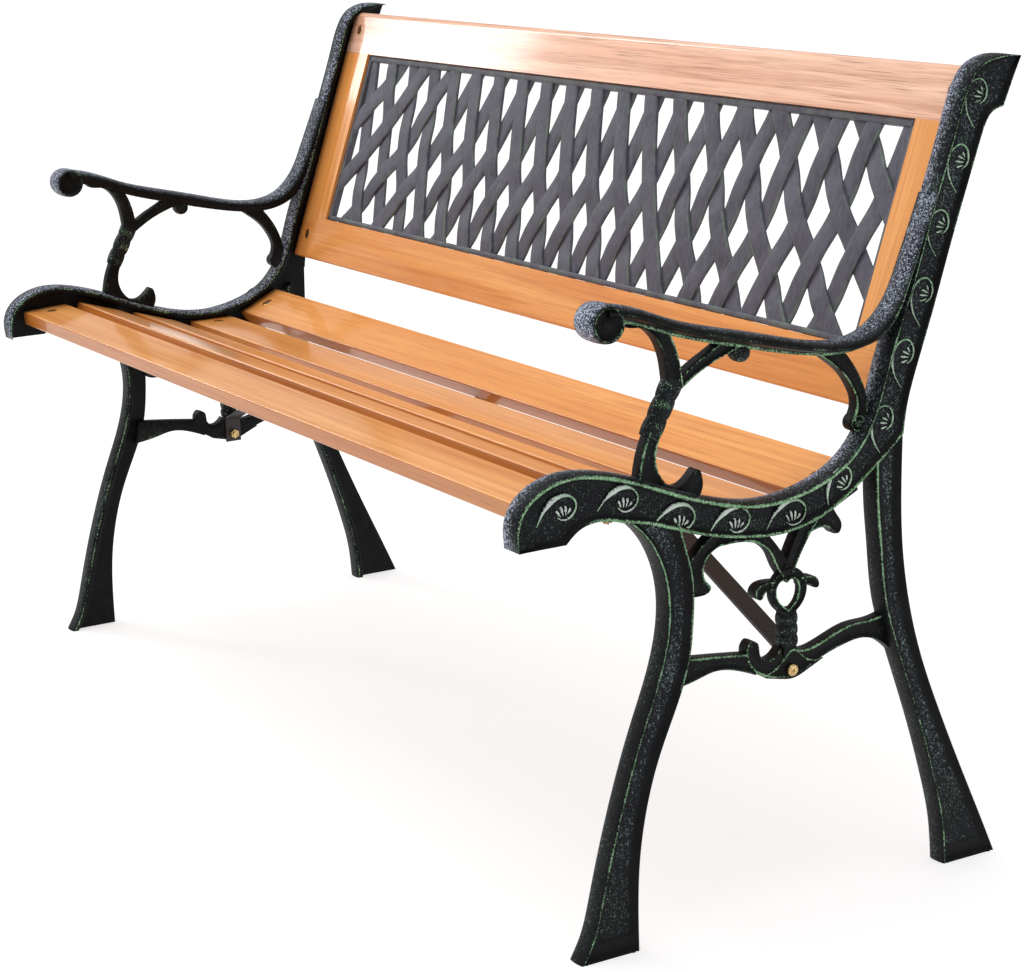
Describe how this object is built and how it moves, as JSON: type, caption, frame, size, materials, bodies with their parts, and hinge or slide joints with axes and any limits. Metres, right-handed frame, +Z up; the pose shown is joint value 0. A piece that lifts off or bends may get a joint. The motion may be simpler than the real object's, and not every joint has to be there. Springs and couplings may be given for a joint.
{
  "type": "garden bench",
  "caption": "Garden bench with two cast scrollwork end frames, varnished timber seat slats and a framed diamond-lattice back.",
  "frame": {"origin": "on the ground, at the middle of the bench's length and depth", "axes": "+X along the bench to the sitter's left, -Y the front, +Z up"},
  "size_m": [1.234, 0.5339, 0.7519],
  "materials": {
    "cast_frame": "black hammered paint with pale green rubbed edges",
    "varnished_wood": "glossy honey varnish",
    "batten_wood": "satin stain",
    "dowel_wood": "bare hardwood",
    "lattice_grey": "fine-grained slate grey with pale green edges",
    "brace_steel": "satin brown-black paint",
    "yellow_zinc": "yellow zinc plate, worn"
  },
  "bodies": {
    "root": {"right_end_frame": "cast_frame", "left_end_frame": "cast_frame", "seat_slat_1": "varnished_wood", "seat_slat_2": "varnished_wood", "seat_slat_3": "varnished_wood", "seat_slat_4": "varnished_wood", "seat_slat_5": "varnished_wood", "centre_batten": "batten_wood", "back_lower_rail": "varnished_wood", "back_upper_rail": "varnished_wood", "back_right_stile": "varnished_wood", "back_left_stile": "varnished_wood", "stile_dowels": "dowel_wood", "lattice_panel": "lattice_grey", "right_brace": "brace_steel", "left_brace": "brace_steel", "slat_bolts": "yellow_zinc", "slat_nuts": "yellow_zinc", "back_bolts": "yellow_zinc", "back_nuts": "yellow_zinc", "brace_bolts": "yellow_zinc", "brace_nuts": "yellow_zinc", "batten_screws": "yellow_zinc", "brace_screws": "yellow_zinc"}
  },
  "joints": []
}
